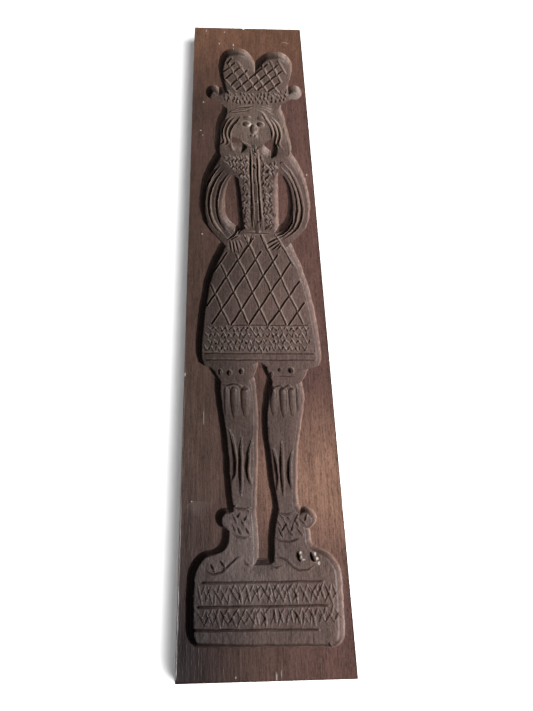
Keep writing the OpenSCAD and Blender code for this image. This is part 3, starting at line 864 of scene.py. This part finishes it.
    def mark_wear_and_painted_light(self, piece: bpy.types.Object, net: FaceNet, size: Vector) -> None:
        """Keeps on the mesh where ridges are painted pale, as wear and as painted highlight, where hollows
        are painted dark as shade, and where pale spots are painted, as lost stain and as painted highlight.

        Args:
            piece: the finished piece.
            net: the worked face.
            size: the board's size in millimetres.
        """
        mesh = piece.data
        spots = self.points(mesh) + np.array([0, size.y / 2, 0])
        # How proud each point lies of what is within 0.9 mm of it
        proud = self.read(net, net.heights - net.blur(net.heights, 0.9), spots)
        # Points lower than what is round them are painted dark as shade, and so are the pared ramps; the
        # placket's strip is coloured darker too
        darkening = np.maximum((-proud - 0.25) / 0.7, self.read(net, net.darkening, spots))
        # Pale spots: lost stain and scuffs, and painted highlights at the eyes, the nose and the hat's right
        # knob
        bare_and_lit = self.read(net, net.bare_and_lit, spots)
        # Below the deepest cut there are only the sides and the back, which get no marks
        side = spots[:, 2] < self.below_cuts
        # Ridges prouder than what is round them are painted pale, partly as wear and partly as painted
        # highlight
        for name, value in (("worn_and_lit", (proud - 0.15) / 0.5), ("shade_and_stain", darkening), ("bare_and_lit", bare_and_lit)):
            mark = mesh.attributes.new(name, "FLOAT", "POINT")
            mark.data.foreach_set("value", np.where(side, 0, np.clip(value, 0, 1)).astype(np.float32))

    def make(self, board: bpy.types.Object, low: Vector, high: Vector) -> bpy.types.Object:
        """Makes the whole board.

        Args:
            board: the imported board.
            low: its lowest corner.
            high: its highest corner.

        Returns:
            The finished piece.
        """
        size = (high - low) / MM
        net = self.carve(board, size)
        piece = self.build(net, size)
        self.mark_wear_and_painted_light(piece, net, size)
        piece.data.materials.clear()
        piece.data.materials.append(StainedBeech().make())
        return piece


@dataclass(frozen=True)
class StainedBeech:
    """Planed and carved beech, stained dark and waxed.

    The stain gives a brown that turns redder and lighter towards the right and in a few patches, and grey in
    the recesses. The grain stays visible as fine upright lines with the short dark flecks of beech. Hollows,
    ridges, rims and a few spots carry painted shade and painted highlights along with dirt and wear.
    """

    left: str = "#48362f"
    right: str = "#684c45"
    foot: str = "#1b0d0f"
    hat_end: str = "#745342"
    hand: str = "#957160"
    recess_left: str = "#332823"
    recess_right: str = "#6c5751"
    recess_head: str = "#6d5c53"
    recess_shoe: str = "#6a5a56"
    recess_foot: str = "#261a1b"
    deep: str = "#1d1412"
    worn_and_lit: str = "#a18b7f"
    bare_and_lit: str = "#d8cfc6"

    def make(self) -> bpy.types.Material:
        """Makes the material.

        Returns:
            The material.
        """
        material = bpy.data.materials.new("stained_waxed_beech")
        material.use_nodes = True
        tree = material.node_tree
        tree.nodes.clear()
        spot = put(tree, "TexCoord").outputs["Object"]
        axes = put(tree, "SeparateXYZ", {0: spot}).outputs
        tints = self.tints(tree, spot, axes)
        layers, tone = self.grain(tree, spot)
        colour = self.stain(tree, tints)
        colour = put(tree, "VectorMath", {0: colour, "Scale": tone}, operation="SCALE").outputs[0]
        # The flecks of beech are drawn about 0.7 mm wide and 3.5 mm long, so that they show
        short = put(tree, "Mapping", {"Vector": spot, "Scale": (1, 0.2, 1)}).outputs[0]
        fleck = put(tree, "TexVoronoi", {"Vector": short, "Scale": 1000 / 1.7}).outputs["Distance"]
        colour = blend(tree, span(tree, fleck, 0.3, 0.14, high=0.45), colour, linear(self.deep))
        # The left arris is painted dark as shade, and made rougher
        arris_shade = span(tree, axes["X"], -0.061, -0.0613, high=0.7)
        colour = self.paint_wear_and_light(tree, spot, axes, tints, arris_shade, colour)
        rough = calc(tree, "MULTIPLY_ADD", layers["lines"], 0.3, 0.22)
        # Flour and dough have left the recess duller than the handled face
        rough = calc(tree, "MULTIPLY_ADD", tints["sunk"], 0.12, rough)
        rough = calc(tree, "MULTIPLY_ADD", arris_shade, 0.6, rough, clamp=True)
        relief = calc(tree, "ADD", layers["lines"], layers["pores"])
        # Facets some 3 mm across that the gouge has left on the floor of the figure
        facets = calc(tree, "MULTIPLY", noise(tree, spot, 3, 1.0), tints["sunk"])
        relief = calc(tree, "MULTIPLY_ADD", facets, 3.5, relief)
        bump = put(tree, "Bump", {"Height": relief, "Strength": 1.0, "Distance": 0.1 * MM}).outputs[0]
        looks = {"Base Color": colour, "Roughness": rough, "IOR": 1.45, "Normal": bump}
        shader = put(tree, "BsdfPrincipled", looks)
        put(tree, "OutputMaterial", {"Surface": shader.outputs[0]})
        return material

    def tints(self, tree: Tree, spot: Socket, axes: bpy.types.NodeOutputs) -> dict[str, Socket]:
        """Tells how much of each tint every place of the board gets.

        Args:
            tree: the node tree.
            spot: the place.
            axes: its X, Y and Z.

        Returns:
            Each tint's share from 0 to 1.
        """
        # Blotches of stain some 60 mm across push the borders of the tints about
        cloud = noise(tree, spot, 60, 4.0)
        tints = {}
        for name, axis, start, stop, sway in (
            ("across", "X", -0.058, 0.05, 0.7),
            ("footward", "Y", -0.19, -0.33, 0.4),
            ("leftward", "X", 0.0, -0.055, 0.4),
            ("hatward", "Y", 0.22, 0.34, 0.8),
            ("rubbed_and_lit", "Y", -0.2, 0.02, 0.4),
            ("sunk", "Z", 0.0208, 0.0175, 0.0),
        ):
            share = span(tree, axes[axis], start, stop, clamp=False)
            moved = calc(tree, "MULTIPLY_ADD", cloud, sway, share)
            tints[name] = calc(tree, "SUBTRACT", moved, sway / 2, clamp=True)
        tints["foot corner"] = calc(tree, "MULTIPLY", tints["footward"], tints["leftward"])
        # Lighter patches round the figure's face, its left shoe and the board's right side, each fading out
        # over some centimetres
        for name, place, far, near in (
            ("head", (0.003, 0.195, 0.0145), 0.068, 0.028),
            ("shoe", (-0.014, -0.255, 0.0145), 0.06, 0.01),
            ("hand", (0.062, -0.21, 0.022), 0.085, 0.02),
        ):
            away = put(tree, "VectorMath", {0: spot, 1: place}, operation="DISTANCE").outputs["Value"]
            tints[name] = span(tree, away, far, near)
        return tints

    def stain(self, tree: Tree, tints: dict[str, Socket]) -> Socket:
        """Lays the tints over one another, on the face and in the recess, whose darker left side is partly
        painted shade.

        Args:
            tree: the node tree.
            tints: each tint's share.

        Returns:
            The stain's colour.
        """
        face, recess = linear(self.left), linear(self.recess_left)
        # From left to right the face turns lighter and redder, and so does the recess, whose darker left
        # side is partly painted shade
        for tint, above, below in (
            ("across", self.right, self.recess_right),
            ("hatward", self.hat_end, self.recess_head),
            ("hand", self.hand, None),
            ("head", None, self.recess_head),
            ("shoe", None, self.recess_shoe),
            ("foot corner", self.foot, self.recess_foot),
        ):
            if above:
                face = blend(tree, tints[tint], face, linear(above))
            if below:
                recess = blend(tree, tints[tint], recess, linear(below))
        return blend(tree, tints["sunk"], face, recess)

    def grain(self, tree: Tree, spot: Socket) -> tuple[dict[str, Socket], Socket]:
        """Makes the grain, all of it upright.

        Args:
            tree: the node tree.
            spot: the place.

        Returns:
            The layers of the grain and the factor by which they lighten or darken the stain.
        """
        # Blotches some 14 mm across where the stain took unevenly, growth rings some 8 mm apart, fine
        # lines of 1.2 mm with the pores between them, and a speckle of dust and wax that is drawn
        # about 1 mm wide so that it shows
        tone = 0.0
        layers = {}
        for name, wide, long, detail, weight in (
            ("blotches", 14, 30, 3.0, 0.5),
            ("rings", 8, 260, 2.0, 0.55),
            ("lines", 1.2, 26, 3.0, 1.0),
            ("pores", 0.8, 4, 2.0, 0.9),
            ("dust", 1.1, 1.5, 1.0, 0.7),
        ):
            scale = (1, wide / long, 1)
            stretched = put(tree, "Mapping", {"Vector": spot, "Scale": scale}).outputs[0]
            layers[name] = noise(tree, stretched, wide, detail)
            part = calc(tree, "SUBTRACT", layers[name], 0.5)
            tone = calc(tree, "MULTIPLY_ADD", part, weight, tone)
        return layers, calc(tree, "ADD", tone, 1.0)

    def paint_wear_and_light(
        self,
        tree: Tree,
        spot: Socket,
        axes: bpy.types.NodeOutputs,
        tints: dict[str, Socket],
        arris_shade: Socket,
        colour: Socket,
    ) -> Socket:
        """Lays painted shade, the end grain's darker stain, pale ridges and rims that are partly wear and
        partly painted highlight, and pale spots of lost stain and painted highlight over the colour.

        Args:
            tree: the node tree.
            spot: the place.
            axes: its X, Y and Z.
            tints: each tint's share.
            arris_shade: how dark the left arris is painted, as shade.
            colour: the stained and grained wood.

        Returns:
            The colour with its wear and painted light.
        """
        # Ridges in the recess are painted pale, most of all towards the hat, and the rims and walls most on
        # the right: partly wear, partly painted highlight where light from the left falls on them
        rubbed_and_lit = span(tree, tints["rubbed_and_lit"], 0, 1, 0.2, 0.7)
        rubbed_and_lit = calc(tree, "MULTIPLY", tints["sunk"], rubbed_and_lit)
        under = span(tree, axes["Z"], 0.02175, 0.0213)
        above = span(tree, axes["Z"], 0.0192, 0.0208, high=0.6)
        walls = span(tree, axes["Z"], 0.0155, 0.019, high=0.42)
        walls = calc(tree, "MULTIPLY", walls, tints["rubbed_and_lit"])
        rims = calc(tree, "MULTIPLY", under, calc(tree, "MAXIMUM", above, walls))
        rims = calc(tree, "MULTIPLY", rims, tints["across"])
        # The rims have crumbled in bits some 4 mm across, which lets the pale wood and its painted highlight
        # through unevenly
        crumbs = span(tree, noise(tree, spot, 4, 2.0), 0.42, 0.6, 0.6, 1.5)
        rims = calc(tree, "MULTIPLY", rims, crumbs, clamp=True)
        # End grain has drunk more of the stain
        ends = span(tree, calc(tree, "ABSOLUTE", axes["Y"]), 0.3483, 0.3486, high=0.6)
        ends = calc(tree, "MULTIPLY", ends, span(tree, axes["Z"], 0.0217, 0.0214))
        # The pale rims join the pale ridges; the left arris's painted shade and the end grain's stain join
        # the dark marks
        edges = {"worn_and_lit": rims, "shade_and_stain": calc(tree, "MAXIMUM", arris_shade, ends)}
        for name, weight, shade in (
            ("shade_and_stain", 0.75, self.deep),
            ("worn_and_lit", rubbed_and_lit, self.worn_and_lit),
            ("bare_and_lit", 1.0, self.bare_and_lit),
        ):
            mark = put(tree, "Attribute", attribute_name=name).outputs["Fac"]
            mark = calc(tree, "MULTIPLY", mark, weight)
            if name in edges:
                mark = calc(tree, "MAXIMUM", mark, edges[name])
            colour = blend(tree, mark, colour, linear(shade))
        return colour


@dataclass
class Studio:
    """The floor, the lamps and the camera."""

    eye: tuple[float, float, float] = (-0.0236, -0.3760, 0.4859)
    look: tuple[float, float, float] = (0.0508, 0.4553, -0.8889)
    up: tuple[float, float, float] = (0.0068, 0.8899, 0.4562)
    lens: float = 32.22
    shift: tuple[float, float] = (0.0060, 0.0626)

    def camera(self) -> None:
        """Sets up the camera where the photographer stood."""
        data = bpy.data.cameras.new("camera")
        data.lens = self.lens
        data.sensor_width = 36
        data.shift_x, data.shift_y = self.shift
        data.clip_start = 0.01
        camera = bpy.data.objects.new("camera", data)
        back = -Vector(self.look).normalized()
        right = Vector(self.up).cross(back).normalized()
        above = back.cross(right)
        turned = Matrix((right, above, back)).transposed().to_4x4()
        camera.matrix_world = Matrix.Translation(self.eye) @ turned
        bpy.context.scene.collection.objects.link(camera)
        bpy.context.scene.camera = camera
        bpy.context.scene.view_settings.view_transform = "Standard"

    def lamp(
        self, name: str, place: tuple[float, float, float], size: float, watts: float
    ) -> bpy.types.Object:
        """Hangs one soft lamp that points at the board.

        Args:
            name: its name.
            place: where it hangs.
            size: the side of its square face.
            watts: its power.

        Returns:
            The lamp.
        """
        data = bpy.data.lights.new(name, "AREA")
        data.size = size
        data.energy = watts
        lamp = bpy.data.objects.new(name, data)
        lamp.location = place
        lamp.rotation_euler = Vector(place).to_track_quat("Z", "Y").to_euler()
        bpy.context.scene.collection.objects.link(lamp)
        return lamp

    def floor(self) -> bpy.types.Object:
        """Lays a pale matt floor.

        Returns:
            The floor.
        """
        work = bmesh.new()
        bmesh.ops.create_grid(work, x_segments=4, y_segments=4, size=2.5)
        mesh = bpy.data.meshes.new("floor")
        work.to_mesh(mesh)
        work.free()
        material = bpy.data.materials.new("pale_matt_floor")
        material.use_nodes = True
        looks = material.node_tree.nodes["Principled BSDF"].inputs
        looks["Base Color"].default_value = (0.9, 0.9, 0.9, 1)
        looks["Roughness"].default_value = 0.9
        mesh.materials.append(material)
        floor = bpy.data.objects.new("floor", mesh)
        bpy.context.scene.collection.objects.link(floor)
        return floor

    def daylight(self) -> None:
        """Fills the room with pale light and shows it as white."""
        world = bpy.data.worlds.new("room")
        bpy.context.scene.world = world
        world.use_nodes = True
        tree = world.node_tree
        tree.nodes.clear()
        path = put(tree, "LightPath").outputs
        seen = calc(tree, "MAXIMUM", path["Is Glossy Ray"], path["Is Transmission Ray"])
        # The camera sees white all round, reflections only near the horizon, as the walls of the room
        aim = put(tree, "SeparateXYZ", {0: put(tree, "TexCoord").outputs["Generated"]}).outputs
        seen = calc(tree, "MULTIPLY", seen, span(tree, aim["Z"], 0.12, 0.04))
        seen = calc(tree, "MAXIMUM", seen, path["Is Camera Ray"])
        strength = span(tree, seen, 0, 1, 0.055, 1.0)
        light = put(tree, "Background", {"Color": (1, 1, 1, 1), "Strength": strength})
        put(tree, "OutputWorld", {"Surface": light.outputs[0]})

    def light(self, piece: bpy.types.Object, floor: bpy.types.Object) -> None:
        """Lights the board from the left, high and low, and the floor from the right with a weak fill.

        The low lamp stands for a window: it catches the right lips of the cuts and the right walls.

        Args:
            piece: the board.
            floor: the floor.
        """
        carving = self.lamp("carving_lamp", (-1.3, -0.05, 1.72), 0.2, 47)
        window = self.lamp("low_window", (-1.6, 0.0, 0.46), 0.35, 20)
        ground = self.lamp("floor_lamp", (1.5, -1.2, 2.0), 2.2, 260)
        fill = self.lamp("floor_fill", (-1.6, -0.6, 2.2), 1.6, 20)
        for lamp, lit in ((carving, piece), (window, piece), (ground, floor), (fill, floor)):
            group = bpy.data.collections.new(lamp.name + "_lights")
            group.objects.link(lit)
            lamp.light_linking.receiver_collection = group


def main() -> None:
    """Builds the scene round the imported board."""
    logging.basicConfig(level=logging.INFO, format="%(name)s: %(message)s")
    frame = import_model()
    studio = Studio()
    studio.camera()
    piece = MouldBoard().make(frame["nodes"][NODE], *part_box(NODE))
    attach(piece, "root")
    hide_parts(NODE)
    LOG.info("%s: %d faces", piece.name, len(piece.data.polygons))
    floor = studio.floor()
    studio.daylight()
    studio.light(piece, floor)


if __name__ == "__main__":
    main()
